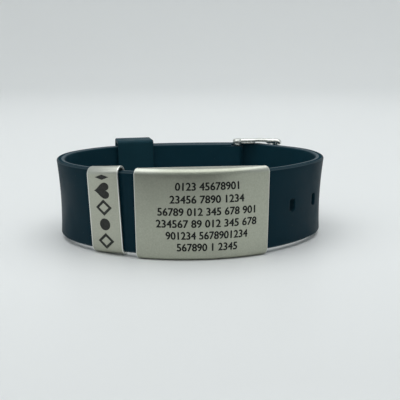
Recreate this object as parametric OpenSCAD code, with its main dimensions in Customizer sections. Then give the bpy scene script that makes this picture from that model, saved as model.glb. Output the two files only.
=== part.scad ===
// Identity bracelet: a moulded strap closed by a pin buckle, with a curved steel plate and a
// small steel sleeve charm threaded on it, and a moulded keeper loop that holds the tail.
// It stands on its edge, as it does when it is laid down buckled: +Z is up, the plate faces -Y,
// and the origin is the middle of its footprint, on the surface under it.
// A place on the strap is a centre, a radius and a turn, in degrees from the front (-Y) towards +X.

/* [Strap] */
// Width of the strap, which is its height as it stands
strap_w = 20; // [19.6:0.1:20]
// Thickness of the strap
strap_t = 2.2; // [2:0.05:2.25]
// Radius of the strap's long edges
strap_edge_r = 0.7; // [0.4:0.1:0.9]
// Height of the strap's lower edge above the surface, as the steel under it carries it
strap_lift = 1.1; // [1.1:0.05:1.3]
// How far the top edge leans outwards where the strap is bent round the sides
strap_flare = 0.8; // [0:0.01:0.8]

/* [Closed loop] */
// Outer radius of the front of the loop, which the plate follows
front_r = 40.3; // [38:0.1:43]
// Turn at which the front gives way to the sides
front_end = 47; // [45:0.5:49]
// Outer radius of the two sides of the loop
side_r = 22.1; // [21.5:0.1:22.5]
// Half of the turn that the back takes up
back_half = 8; // [7.5:0.1:8.5]
// How far outwards the tail lies on the buckle's side of the strap
tail_step = 2.35; // [2.35:0.05:2.5]
// Radius of the tail's rounded end
tail_end_r = 10; // [9.8:0.1:10]

/* [Holes] */
// Distance between two adjustment holes along the strap
hole_pitch = 9.8; // [9.6:0.1:10]
// Distance of the first hole from the middle of the front, along the strap
first_hole = 25.1; // [25:0.1:26]
// Length of a hole along the strap
hole_len = 2; // [1.6:0.1:2.2]
// Height of a hole across the strap
hole_h = 3.3; // [2.6:0.1:3.4]
// Length of the hole that the tongue holds open
used_hole_len = 2.9; // [2.8:0.1:3]
// Height of the hole that the tongue holds open
used_hole_h = 3.6; // [3.5:0.1:3.8]

/* [Plate] */
// Height of the plate over its two bent edges
plate_h = 22.2; // [22.2:0.1:22.6]
// Half of the turn that the plate takes up where it is widest
plate_half = 24.25; // [20:0.25:24.5]
// How far the plate has slid round the front
plate_turn = 0.1; // [-1:0.1:1]
// Thickness of the plate's sheet
plate_t = 0.9; // [0.8:0.05:0.95]
// Clearance between the plate and the strap's outer face
plate_gap = 0.2; // [0.15:0.05:0.3]
// Outer radius of the plate's two bends
plate_bend_r = 1.4; // [1.2:0.1:1.6]
// Radius of the plate's four corners, seen from the front
plate_corner_r = 0.8; // [0.6:0.1:1]
// Radius to which the plate's two ends bow out, seen from the front
plate_bow_r = 72; // [60:2:200]
// Width of the tab behind the strap on each bent edge
tab_w = 10; // [8:0.5:10]
// Height of those tabs
tab_h = 3.4; // [2.5:0.1:4]

/* [Charm] */
// Width of the charm along the strap
charm_w = 9; // [8:0.1:10]
// Distance of the charm from the middle of the front, along the strap
charm_from_front = 24.5; // [23.8:0.1:25]
// Lean of the charm, its top away from the plate
charm_lean = 2; // [0:0.1:2]
// Thickness of the charm's sheet
charm_t = 0.5; // [0.4:0.05:0.5]
// Height of each lip behind the strap, over its bend
charm_lip_h = 6.5; // [5:0.1:8]

/* [Keeper] */
// Width of the keeper loop along the strap
keeper_w = 10.6; // [8:0.1:10.8]
// Thickness of its inner and outer walls
keeper_t = 1.15; // [1:0.05:1.3]
// Thickness of its wall over the strap's top edge
keeper_edge_t = 1.2; // [1:0.05:1.3]
// Distance of the keeper's middle from the end of the flat back
keeper_in = 1.3; // [1:0.1:2]

/* [Buckle] */
// Height of the buckle's frame
frame_h = 22.7; // [22.6:0.1:23]
// Thickness of the frame's two arms over the strap's edges
arm_t = 1; // [0.8:0.05:1]
// Width of the arms
arm_w = 2.2; // [1.8:0.1:2.4]
// Outer radius of the arms' bow
arm_bow_r = 30; // [24:1:60]
// Radius of the cross bar that the tongue rests on
cross_bar_r = 1.1; // [0.9:0.05:1.2]
// Turn at which the cross bar stands, about the side's centre
cross_bar_turn = 142.7; // [142:0.1:143.5]
// Radius of the frame's two bosses at the spring bar
boss_r = 1.45; // [1.3:0.05:1.5]
// Height of each boss
boss_h = 2; // [1.8:0.1:2]
// Radius of the spring bar
spring_bar_r = 0.75; // [0.7:0.01:0.75]
// Radius of the spring bar's two tips
tip_r = 0.45; // [0.4:0.01:0.45]
// Thickness of the tongue
tongue_t = 1; // [0.9:0.05:1]
// Width of the tongue across the strap
tongue_w = 1.8; // [1.6:0.1:1.9]

/* [Hidden] */
$fn = 72;
// Small clearances between pieces, and the length by which a cutter runs past a face
fit_gap = 0.1;
past = 1;
// Outward direction at a turn
function out(turn) = [sin(turn), -cos(turn)];
// Turn of a direction
function turn_of(v) = (atan2(v.x, -v.y) + 360) % 360;
// Turn covered by a length on a radius
function turn_for(length, radius) = length / radius * 180 / PI;
// Centres of the loop's arcs, which run into each other without a corner
side_end = 180 - back_half;
right_c = [(front_r - side_r) * sin(front_end), 0];
left_c = [-right_c.x, 0];
front_c = [0, (front_r - side_r) * cos(front_end)];
// The back's radius follows from the others, so that the loop closes without a step
back_r = side_r + right_c.x / sin(back_half);
back_c = [0, -(back_r - side_r) * cos(back_half)];
front_len = front_r * front_end * PI / 180;
// The tail leaves the loop on a flat arc, and settles over the buckle's end on a tight one
rise_turn = 130;
rise_r = 150;
settle_r = 11;
rise_d = rise_r - side_r;
settle_d = side_r + tail_step - settle_r;
settle_turn = rise_turn
    + acos((pow(rise_r - settle_r, 2) - pow(rise_d, 2) - pow(settle_d, 2)) / (2 * rise_d * settle_d));
rise_c = right_c - rise_d * out(rise_turn);
settle_c = right_c + settle_d * out(settle_turn);
swap_turn = turn_of(settle_c - rise_c);
// The ribbon's route, from the lug to the tail's end: centre, radius, first turn, last turn, steps
legs = [
    [back_c, back_r, side_end, 360 - side_end, 5],
    [left_c, side_r, 360 - side_end, 360 - front_end, 18],
    [front_c, front_r, 360 - front_end, 360 + front_end, 16],
    [right_c, side_r, 360 + front_end, 360 + rise_turn, 12],
    [rise_c, rise_r, 360 + rise_turn, 360 + swap_turn, 5],
    [settle_c, settle_r, 360 + swap_turn, 360 + settle_turn, 5],
    [right_c, side_r + tail_step, 360 + settle_turn, 360 + side_end, 2],
    [back_c, back_r + tail_step, 360 + side_end, 720 - side_end, 5]
];
// Turns of the sections that draw in to the round end, counted from the end of the back
end_steps = [0, 5, 10, 14, 17.5, 20, 21.8, 22.9];
// Each station of the ribbon: centre, radius, turn and half of its height
stations = concat(
    [for (leg = legs, i = [0:leg[4] - 1])
        [leg[0], leg[1], leg[2] + (leg[3] - leg[2]) * i / leg[4], strap_w / 2]],
    [for (turn = end_steps)
        [left_c, side_r + tail_step, 720 - side_end + turn, end_half((side_r + tail_step) * sin(turn))]]);
// Half height of the round end at a distance from where it starts
function end_half(x) = strap_w / 2 - tail_end_r + sqrt(pow(tail_end_r, 2) - pow(x, 2));
// Smooth step from 0 to 1
function ease(x) = let (t = min(max(x, 0), 1)) t * t * (3 - 2 * t);
// The edge's lean at a turn: none under the plate and at the back, most on the sides
function flare_at(turn) =
    let (a = abs((turn + 180) % 360 - 180))
    strap_flare * ease((a - 36) / 39) * (1 - ease((a - 105) / 33));
// How far a height leans out at a turn, from a waist at a third of the strap's width
function lean(turn, z) = flare_at(turn) * pow((z + strap_w / 6) / (strap_w * 2 / 3), 2);
// Outline of a section: distance inside the outer face, and height from the middle
function strap_outline(half) =
    let (r = min(strap_edge_r, half * 0.6), c = r * (1 - sqrt(0.5)), t = strap_t)
    [
        [0, r - half], [0, 0], [0, half - r], [c, half - c], [r, half],
        [t - r, half], [t - c, half - c], [t, half - r], [t, 0], [t, r - half],
        [t - c, c - half], [t - r, -half], [r, -half], [c, c - half]
    ];
// Points of a section in space
function section_at(place) =
    [for (q = strap_outline(place[3]))
        let (at = place[0] + (place[1] - q[0] + lean(place[2], q[1])) * out(place[2]))
        [at.x, at.y, mid_z + q[1]]];
// Outer face of the rising strap at the cross bar, as a radius about the side's centre
rise_at_bar = sqrt(pow(rise_r, 2) - pow(rise_d * sin(cross_bar_turn - rise_turn), 2))
    - rise_d * cos(cross_bar_turn - rise_turn);
// Plate and charm
plate_r = front_r + plate_gap + plate_t;
// Height at which the plate is widest, and the heights at which its outline has a point
plate_widest = 12.2;
plate_corner_steps = [0, 0.1, 0.25, 0.5, plate_corner_r];
plate_heights = concat(plate_corner_steps, [2, 4, 6, 8, 10, plate_widest, 14.5, 16.5, 18.5, 20],
    [for (i = [4:-1:0]) plate_h - plate_corner_steps[i]]);
// How far a round corner draws an edge in at a distance from the corner's foot
function corner_cut(z, r) = z < r ? r - sqrt(pow(r, 2) - pow(r - z, 2)) : 0;
// Half of the plate's width at a height
function plate_edge(z) = plate_r * sin(plate_half) - pow(z - plate_widest, 2) / (2 * plate_bow_r)
    - corner_cut(min(z, plate_h - z), plate_corner_r);
inner_bend_r = 0.5;
tab_gap = 0.15;
tab_back = sqrt(pow(front_r - strap_t, 2) - pow(tab_w / 2, 2)) - tab_gap - plate_t;
charm_gap = 0.25;
charm_h = 21.75;
charm_foot = 0.17;
charm_bend_r = strap_t / 2 + charm_gap + charm_t;
// Keeper
keeper_turn = 180 + back_half - turn_for(keeper_in, back_r);
keeper_clear = 0.2;
keeper_dip = 0.4;
keeper_slack = 0.5;
keeper_top = strap_lift + strap_w + fit_gap + keeper_slack + keeper_edge_t;
keeper_out = tail_step + keeper_clear + keeper_t;
keeper_inside = strap_t + keeper_clear + keeper_dip + keeper_t;
keeper_edge_r = 0.5;
// Buckle: the spring bar stands where the back begins, inside the strap's line
mid_z = strap_lift + strap_w / 2;
bar_in = 1.6;
lug_r = 1.5;
lug_run = 5.5;
bar_p = right_c + (side_r - bar_in) * out(side_end);
cross_bar_rad = rise_at_bar + 0.15 + cross_bar_r;
cross_p = right_c + cross_bar_rad * out(cross_bar_turn);
spring_bore_r = spring_bar_r + fit_gap;
tip_bore_r = tip_r + 0.05;
tip_len = 1.2;
shoulder = 1.9;
notch_h = tongue_w + 1;
// The tongue's path: turn and radius about the side's centre, from the spring bar to its point
used_hole_turn = 154.8;
used_hole_rad = side_r + 0.85 * tail_step;
tongue_path = [[172, 19.7], [164, 20.1], [157.7, 20.7], [152.3, 25.3],
    [cross_bar_turn, cross_bar_rad + cross_bar_r + fit_gap + tongue_t / 2], [138.6, 25.3]];
// Holes in the tail where it lies on the back, counted from the end of the right side
tail_first = 3.4;
tail_holes = [for (i = [0:2]) tail_first + i * hole_pitch];
// Middle of the footprint: the plate is foremost, and the keeper's corner is rearmost
front_y = front_c.y - plate_r;
back_y = back_c.y + (back_r + keeper_out) * cos(180 - keeper_turn)
    + keeper_w / 2 * sin(keeper_turn - 180);
centre_y = (front_y + back_y) / 2;

// Moves what it holds so that the origin is the middle of the footprint
module centred() {
    translate([0, -centre_y, 0]) children();
}

// Turns a profile of [distance outside a radius, height] about a centre
module run(centre, radius, from, to) {
    translate([centre.x, centre.y, 0])
        rotate([0, 0, from - 90])
            rotate_extrude(angle = to - from)
                translate([radius, 0])
                    children();
}

// Places a piece on the loop: its -Y faces outwards, and its +X runs along the strap
module on_loop(centre, radius, turn) {
    translate([centre.x + radius * sin(turn), centre.y - radius * cos(turn), 0])
        rotate([0, 0, turn])
            children();
}

// Rectangle with its lower corner at the origin and four round corners
module round_rect(w, h, r) {
    translate([r, 0]) square([w - 2 * r, h]);
    translate([0, r]) square([w, h - 2 * r]);
    for (x = [r, w - r], y = [r, h - r])
        translate([x, y]) circle(r = r);
}

// Upright slot with round ends, about the origin
module slot(len, h) {
    translate([-len / 2, -(h - len) / 2]) square([len, h - len]);
    for (side = [-1, 1])
        translate([0, side * (h - len) / 2]) circle(d = len);
}

// Cutter for one hole, from outside the strap's outer face down to a depth
module hole_cutter(len, h, depth = strap_t + 0.07) {
    translate([0, -past, mid_z])
        rotate([-90, 0, 0])
            linear_extrude(past + depth)
                slot(len, h);
}

// The strap's ribbon: one skin through all of its sections, each end closed by strips across it
module ribbon() {
    count = len(strap_outline(1));
    last = len(stations) - 1;
    strips = [for (i = [0:count / 2 - 2])
        [(count - 2 + i) % count, (count - 1 + i) % count, count - 4 - i, count - 3 - i]];
    polyhedron(
        points = [for (place = stations) each section_at(place)],
        faces = [
            for (strip = strips)
                each [[for (i = [3:-1:0]) strip[i]], [for (i = strip) last * count + i]],
            for (k = [0:last - 1], i = [0:count - 1])
                let (near = k * count, far = near + count, next = (i + 1) % count)
                each [[near + i, far + next, far + i], [near + i, near + next, far + next]]
        ]);
}

// Thicker end of the strap round the spring bar, faired into the strap behind it
module lug() {
    lug_low = boss_h + 0.15;
    lug_high = frame_h - boss_h - 0.15;
    translate([0, 0, lug_low])
        linear_extrude(lug_high - lug_low) {
            translate([0, bar_in]) circle(r = lug_r);
            polygon([[0, 0.3], [0, bar_in + lug_r], [lug_run, strap_t + 0.1], [lug_run, 0.5]]);
        }
}

// Room in the lug for the spring bar, the tongue and the frame's bosses
module lug_cutters() {
    translate([0, bar_in, 0])
        cylinder(r = spring_bore_r, h = frame_h);
    translate([-lug_r - past, -0.07, mid_z - notch_h / 2])
        cube([lug_r + past + shoulder, bar_in + lug_r + past, notch_h]);
    for (z = [-past, frame_h - boss_h - 0.15])
        translate([-past, -0.07, z])
            cube([past + shoulder, bar_in + lug_r + past, boss_h + 0.15 + past]);
}

// Moulded strap: one solid from the buckle's lug to the round end of the tail
module strap() {
    color([0.09, 0.14, 0.19])
        centred()
            difference() {
                union() {
                    ribbon();
                    on_loop(right_c, side_r, side_end) lug();
                }
                on_loop(right_c, side_r, side_end) lug_cutters();
                on_loop(front_c, front_r, turn_for(first_hole, front_r)) hole_cutter(hole_len, hole_h);
                for (i = [1:4])
                    on_loop(right_c, side_r,
                        front_end + turn_for(first_hole + i * hole_pitch - front_len, side_r))
                        hole_cutter(hole_len, hole_h);
                on_loop(right_c, used_hole_rad, used_hole_turn)
                    hole_cutter(used_hole_len, used_hole_h, strap_t + past);
                for (along = tail_holes)
                    on_loop(back_c, back_r + tail_step,
                        side_end + turn_for(along, back_r + tail_step))
                        hole_cutter(hole_len, hole_h);
            }
}

// Section of the plate: a front wall with a bend at each end, its outer face on the radius
module plate_section() {
    reach = plate_r - tab_back + 2;
    difference() {
        union() {
            translate([-reach, 0]) square([reach - plate_bend_r, plate_h]);
            translate([-plate_bend_r, plate_bend_r]) square([plate_bend_r, plate_h - 2 * plate_bend_r]);
            for (z = [plate_bend_r, plate_h - plate_bend_r])
                translate([-plate_bend_r, z]) circle(r = plate_bend_r);
        }
        translate([-reach - past - plate_t, plate_t])
            round_rect(reach + past, plate_h - 2 * plate_t, inner_bend_r);
    }
}

// Outline of the plate from the front
module plate_outline() {
    polygon([
        for (z = plate_heights) [plate_edge(z), z],
        for (i = [len(plate_heights) - 1:-1:0]) [-plate_edge(plate_heights[i]), plate_heights[i]]
    ]);
}

// Steel plate that carries the engraving: its bent edges end straight, each with a tab behind the strap
module id_plate() {
    half_w = plate_r * sin(plate_half);
    color([0.62, 0.62, 0.6])
        centred()
            translate([front_c.x, front_c.y, 0])
                rotate([0, 0, plate_turn]) {
                    intersection() {
                        run([0, 0], plate_r, -plate_half, plate_half) plate_section();
                        translate([-half_w, -plate_r - past, 0])
                            cube([2 * half_w, plate_r + past - tab_back, plate_h]);
                        translate([0, -tab_back + past, 0])
                            rotate([90, 0, 0])
                                linear_extrude(plate_r - tab_back + 3 * past)
                                    plate_outline();
                    }
                    for (z = [0, plate_h - tab_h])
                        translate([-tab_w / 2, -tab_back - plate_t, z])
                            cube([tab_w, plate_t, tab_h]);
                }
}

// Section of the charm: a flat tube round the strap, open at the back between its two lips
module charm_section() {
    mid = -strap_t / 2;
    difference() {
        translate([mid - charm_bend_r, 0])
            round_rect(2 * charm_bend_r, charm_h, charm_bend_r - 0.01);
        translate([mid - charm_bend_r + charm_t, charm_t])
            round_rect(2 * (charm_bend_r - charm_t), charm_h - 2 * charm_t, charm_bend_r - charm_t - 0.01);
        translate([mid - charm_bend_r - past, charm_lip_h])
            square([charm_bend_r + past, charm_h - 2 * charm_lip_h]);
    }
}

// Steel sleeve charm, bent round the strap and leaning a little
module charm() {
    half = turn_for(charm_w / 2, front_r);
    color([0.7, 0.72, 0.7])
        centred()
            on_loop(front_c, front_r, -turn_for(charm_from_front, front_r))
                translate([0, 0, charm_foot + charm_h / 2])
                    rotate([0, -charm_lean, 0])
                        translate([0, 0, -charm_h / 2])
                            run([0, front_r], front_r, -half, half) charm_section();
}

// Moulded keeper: a closed loop round both layers of the strap
module keeper() {
    depth = keeper_out + keeper_inside;
    color([0.1, 0.15, 0.2])
        centred()
            on_loop(back_c, back_r, keeper_turn)
                translate([-keeper_w / 2, 0, 0])
                    rotate([90, 0, 90])
                        linear_extrude(keeper_w)
                            difference() {
                                translate([-keeper_out, 0]) round_rect(depth, keeper_top, keeper_edge_r);
                                translate([-keeper_out + keeper_t, strap_lift - fit_gap])
                                    square([depth - 2 * keeper_t, strap_w + 2 * fit_gap + keeper_slack]);
                            }
}

// One of the frame's arms, bowed outwards from the boss to the cross bar
module frame_arm() {
    half_span = norm(cross_p - bar_p) / 2;
    middle = (cross_p + bar_p) / 2;
    mid_r = arm_bow_r - arm_w / 2;
    along = (bar_p - cross_p) / (2 * half_span);
    bow_c = middle - sqrt(pow(mid_r, 2) - pow(half_span, 2)) * [along.y, -along.x];
    from = turn_of(cross_p - bow_c);
    to = turn_of(bar_p - bow_c);
    run(bow_c, arm_bow_r, from, to)
        translate([-arm_w, 0]) square([arm_w, arm_t]);
}

// Buckle's frame: a cross bar, two arms and two bosses, in one casting
module buckle_frame() {
    color([0.75, 0.75, 0.74])
        centred()
            difference() {
                union() {
                    translate([cross_p.x, cross_p.y, 0]) cylinder(r = cross_bar_r, h = frame_h);
                    for (z = [0, frame_h - arm_t])
                        translate([0, 0, z]) frame_arm();
                    for (z = [0, frame_h - boss_h])
                        translate([bar_p.x, bar_p.y, z]) cylinder(r = boss_r, h = boss_h);
                }
                translate([bar_p.x, bar_p.y, boss_h - tip_len - fit_gap])
                    cylinder(r = tip_bore_r, h = frame_h - 2 * (boss_h - tip_len - fit_gap));
            }
}

// Buckle's tongue: a bent bar rolled round the spring bar, through the strap, onto the cross bar
module buckle_tongue() {
    points = [for (p = tongue_path) right_c + p[1] * out(p[0])];
    color([0.78, 0.78, 0.77])
        centred()
            translate([0, 0, mid_z - tongue_w / 2])
                linear_extrude(tongue_w)
                    difference() {
                        union() {
                            translate(bar_p) circle(r = boss_r);
                            for (p = points)
                                translate(p) circle(d = tongue_t);
                            for (i = [0:len(points) - 2])
                                tongue_link(points[i], points[i + 1]);
                        }
                        translate(bar_p) circle(r = spring_bore_r);
                    }
}

// Straight stretch of the tongue between two points of its path
module tongue_link(p, q) {
    translate(p)
        rotate([0, 0, atan2(q.y - p.y, q.x - p.x)])
            translate([0, -tongue_t / 2])
                square([norm(q - p), tongue_t]);
}

// Spring bar: a shaft between the bosses, with a thinner tip in each
module spring_bar() {
    shaft_low = boss_h + 0.05;
    tips_low = boss_h - tip_len;
    color([0.6, 0.6, 0.6])
        centred()
            translate([bar_p.x, bar_p.y, 0]) {
                translate([0, 0, shaft_low]) cylinder(r = spring_bar_r, h = frame_h - 2 * shaft_low);
                translate([0, 0, tips_low]) cylinder(r = tip_r, h = frame_h - 2 * tips_low);
            }
}

strap();
id_plate();
charm();
keeper();
buckle_frame();
buckle_tongue();
spring_bar();
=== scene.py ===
import math

import bmesh
import bpy
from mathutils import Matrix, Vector


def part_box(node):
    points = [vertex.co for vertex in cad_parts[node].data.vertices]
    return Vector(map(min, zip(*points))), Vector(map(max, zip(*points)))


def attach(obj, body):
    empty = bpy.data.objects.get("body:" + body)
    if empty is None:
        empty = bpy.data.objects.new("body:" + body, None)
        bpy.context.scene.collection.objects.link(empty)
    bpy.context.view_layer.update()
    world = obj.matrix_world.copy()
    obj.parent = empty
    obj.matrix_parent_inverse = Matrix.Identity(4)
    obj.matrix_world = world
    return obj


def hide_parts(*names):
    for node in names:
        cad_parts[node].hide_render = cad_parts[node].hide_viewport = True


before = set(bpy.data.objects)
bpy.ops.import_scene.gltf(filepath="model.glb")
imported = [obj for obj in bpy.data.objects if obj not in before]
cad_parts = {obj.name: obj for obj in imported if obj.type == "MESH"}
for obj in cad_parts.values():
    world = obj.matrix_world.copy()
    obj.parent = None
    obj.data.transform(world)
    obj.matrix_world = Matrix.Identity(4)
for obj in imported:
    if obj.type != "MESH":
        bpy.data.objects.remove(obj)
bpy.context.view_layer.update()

# Strap
# One band of moulded silicone, cast flat with its row of holes, its round tail and, at the other end,
# a thicker eye for the spring bar. It is shaped flat here too, in millimetres along, inwards and up,
# and is then wrapped along the route that it takes when the bracelet is buckled.
MM = 0.001
strap_w, strap_t, strap_rim_r = 20.0, 2.2, 0.45
tail_round_r = 10.0
front_r, front_end = 40.3, 47.0
side_r, back_half = 22.1, 8.0
tail_step = 2.35
rise_turn, rise_r, settle_r = 130.0, 150.0, 11.0
flare, flare_waist = 0.8, strap_w / 6
flare_from, flare_full, flare_until, flare_gone = 36, 75, 105, 138
hole_len, hole_h, hole_pitch, first_hole = 2.0, 3.3, 9.8, 25.1
used_hole_len, used_hole_h, used_hole_turn = 2.9, 3.6, 154.8
tail_first_hole = 3.4
hole_rim_r, hole_corner_r = 0.08, 0.7
rim_matt, rim_flat = (0.5, 1.3), 0.02
# Pale lines along the rims: partly rubbed wear, partly painted highlight for the light lines that the rounded
# edges catch
rim_highlight_and_wear_below, rim_highlight_and_wear_half, rim_highlight_and_wear_inside = 0.27, 0.14, 0.25
bar_in, eye_r, eye_bore_r, eye_run = 1.6, 1.5, 0.85, 6.5
eye_low, eye_high = -8.95, 9.45
eye_shoulder, tongue_notch = 1.9, 2.8
fairing_sink, fairing_steps = 0.05, 8
cut_past, hole_cut_past = 0.07, 0.5
bend_step, lean_step = 0.75, 1.6
# The inner face's colour is paler than the outer: painted light for the light that reaches inside the loop
inner_face_painted_light_colour, dust_colour = (0.005, 0.031, 0.046, 1), (0.16, 0.17, 0.18, 1)


def outward(turn):
    """Outward direction at a turn, in degrees from the front towards the right."""
    return Vector((math.sin(math.radians(turn)), -math.cos(math.radians(turn)), 0))


side_end = 180 - back_half
right_c = Vector(((front_r - side_r) * math.sin(math.radians(front_end)), 0, 0))
left_c = -right_c
front_c = Vector((0, (front_r - side_r) * math.cos(math.radians(front_end)), 0))
back_r = side_r + right_c.x / math.sin(math.radians(back_half))
back_c = Vector((0, -(back_r - side_r) * math.cos(math.radians(back_half)), 0))
rise_d, settle_d = rise_r - side_r, side_r + tail_step - settle_r
settle_turn = rise_turn + math.degrees(math.acos(
    ((rise_r - settle_r) ** 2 - rise_d ** 2 - settle_d ** 2) / (2 * rise_d * settle_d)))
rise_c = right_c - rise_d * outward(rise_turn)
settle_c = right_c + settle_d * outward(settle_turn)
swap_turn = math.degrees(math.atan2((settle_c - rise_c).x, -(settle_c - rise_c).y))
# The route from the eye to the tail: centre, outer radius, first turn, last turn
route = [
    (back_c, back_r, side_end, 360 - side_end),
    (left_c, side_r, 360 - side_end, 360 - front_end),
    (front_c, front_r, 360 - front_end, 360 + front_end),
    (right_c, side_r, 360 + front_end, 360 + rise_turn),
    (rise_c, rise_r, 360 + rise_turn, 360 + swap_turn),
    (settle_c, settle_r, 360 + swap_turn, 360 + settle_turn),
    (right_c, side_r + tail_step, 360 + settle_turn, 360 + side_end),
    (back_c, back_r + tail_step, 360 + side_end, 720 - side_end),
    (left_c, side_r + tail_step, 720 - side_end, 720 - front_end),
]
route_starts = [0.0]
for _, radius, first, last in route[:-1]:
    route_starts.append(route_starts[-1] + radius * math.radians(last - first))
front_middle = (route_starts[2] + route_starts[3]) / 2
tail_start = route_starts[-1]
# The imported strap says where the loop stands
strap_low, strap_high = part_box("strap")
loop_y = strap_low.y / MM + front_r - front_c.y
strap_mid_z = (strap_low.z + strap_high.z) / 2 / MM


def ease(share):
    """Smooth step from 0 to 1."""
    share = min(max(share, 0), 1)
    return share * share * (3 - 2 * share)


def lean(turn, height):
    """How far a bent strap leans outwards at its top edge: most on the sides, and none at the plate."""
    from_front = abs((turn + 180) % 360 - 180)
    most = flare * ease((from_front - flare_from) / (flare_full - flare_from)) * (
        1 - ease((from_front - flare_until) / (flare_gone - flare_until)))
    return most * ((height + flare_waist) / (strap_w / 2 + flare_waist)) ** 2


def loop_place(centre, reach, turn, z):
    """Point of the row frame at a reach and a turn about one of the route's centres."""
    place = centre + reach * outward(turn)
    return MM * Vector((place.x, place.y + loop_y, z))


def wrap_strap(along, inward, height):
    """Where a point of the flat strap comes to lie when it is buckled."""
    leg = sum(along >= start for start in route_starts[1:])
    centre, radius, first, _ = route[leg]
    turn = first + math.degrees((along - route_starts[leg]) / radius)
    return loop_place(centre, radius - inward + lean(turn, height), turn, strap_mid_z + height)


def skin(rings, closed=False):
    """Closed skin through rings of points, which either ends in two flat caps or runs back to its start."""
    bm = bmesh.new()
    loops = [[bm.verts.new(point) for point in ring] for ring in rings]
    count = len(loops[0])
    for near, far in zip(loops, loops[1:] + loops[:1] if closed else loops[1:]):
        for i in range(count):
            after = (i + 1) % count
            bm.faces.new((near[i], near[after], far[after], far[i]))
    if not closed:
        bm.faces.new(loops[0])
        bm.faces.new(loops[-1])
    bmesh.ops.recalc_face_normals(bm, faces=bm.faces)
    return bm


def block(low, high):
    """Plain block between two corners, to cut with."""
    return skin([[(low[0], low[1], z), (high[0], low[1], z), (high[0], high[1], z), (low[0], high[1], z)]
                 for z in (low[2], high[2])])


def joined(parts):
    """Several meshes that don't touch, as one."""
    whole = bmesh.new()
    for part in parts:
        mesh = bpy.data.meshes.new("part")
        part.to_mesh(mesh)
        part.free()
        whole.from_mesh(mesh)
        bpy.data.meshes.remove(mesh)
    return whole


def carved(body, steps):
    """The body after steps of (operation, tool), each of which fuses a tool to it or cuts one out of it."""
    work = [body] + [tool for _, tool in steps]
    objects = []
    for bm in work:
        mesh = bpy.data.meshes.new("work")
        bm.to_mesh(mesh)
        bm.free()
        objects.append(bpy.data.objects.new("work", mesh))
        bpy.context.scene.collection.objects.link(objects[-1])
    for (operation, _), tool in zip(steps, objects[1:]):
        step = objects[0].modifiers.new(operation, "BOOLEAN")
        step.operation, step.solver, step.object = operation, "EXACT", tool
    bpy.context.view_layer.update()
    result = bmesh.new()
    result.from_object(objects[0], bpy.context.evaluated_depsgraph_get())
    bmesh.ops.remove_doubles(result, verts=result.verts, dist=1e-4)
    bmesh.ops.triangulate(result, faces=[face for face in result.faces if len(face.verts) > 4])
    for used in objects:
        mesh = used.data
        bpy.data.objects.remove(used)
        bpy.data.meshes.remove(mesh)
    return result


def round_off(bm, radius, steps, picked):
    """Rounds the edges for which picked(one end, other end) holds."""
    edges = [edge for edge in bm.edges if picked(edge.verts[0].co, edge.verts[1].co)]
    bmesh.ops.bevel(bm, geom=edges, offset=radius, offset_type="OFFSET", segments=steps, profile=0.5,
                    affect="EDGES", clamp_overlap=True)


def score_at(bm, axis, places):
    """Edges across a flat mesh at some places along an axis."""
    for at in places:
        place, normal = Vector((0, 0, 0)), Vector((0, 0, 0))
        place[axis], normal[axis] = at, 1
        bmesh.ops.bisect_plane(bm, geom=bm.verts[:] + bm.edges[:] + bm.faces[:], dist=1e-4,
                               plane_co=place, plane_no=normal)


def score(bm, axis, first, last, step):
    """Edges across a flat mesh at equal steps along an axis, so that it can bend there."""
    count = math.ceil((last - first) / step)
    score_at(bm, axis, [first + (last - first) * i / count for i in range(1, count)])


def rounded_loop(middle, size, radius, steps=6):
    """Rectangle with round corners, as points of (across, up)."""
    points = []
    for quarter in range(4):
        side_x = 1 if quarter in (0, 3) else -1
        side_y = 1 if quarter in (0, 1) else -1
        for i in range(steps + 1):
            angle = math.radians(90 * quarter + 90 * i / steps)
            points.append((middle[0] + side_x * (size[0] / 2 - radius) + radius * math.cos(angle),
                           middle[1] + side_y * (size[1] / 2 - radius) + radius * math.sin(angle)))
    return points


def hole_cutter(middle, length, height):
    """Cutter for one slot hole, which widens towards both faces so that the hole's rims are round."""
    rim = [(hole_rim_r * (1 - math.cos(math.radians(a))), hole_rim_r * (1 - math.sin(math.radians(a))))
           for a in (90, 45, 0)]
    depths = [(-hole_cut_past, hole_rim_r + hole_cut_past)] + [(inward, grow) for grow, inward in rim]
    depths = depths + [(strap_t - inward, grow) for inward, grow in reversed(depths)]
    return skin([[(middle + x, inward, z) for x, z in rounded_loop(
        (0, 0), (length + 2 * grow, height + 2 * grow), hole_corner_r + grow)] for inward, grow in depths])


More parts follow.
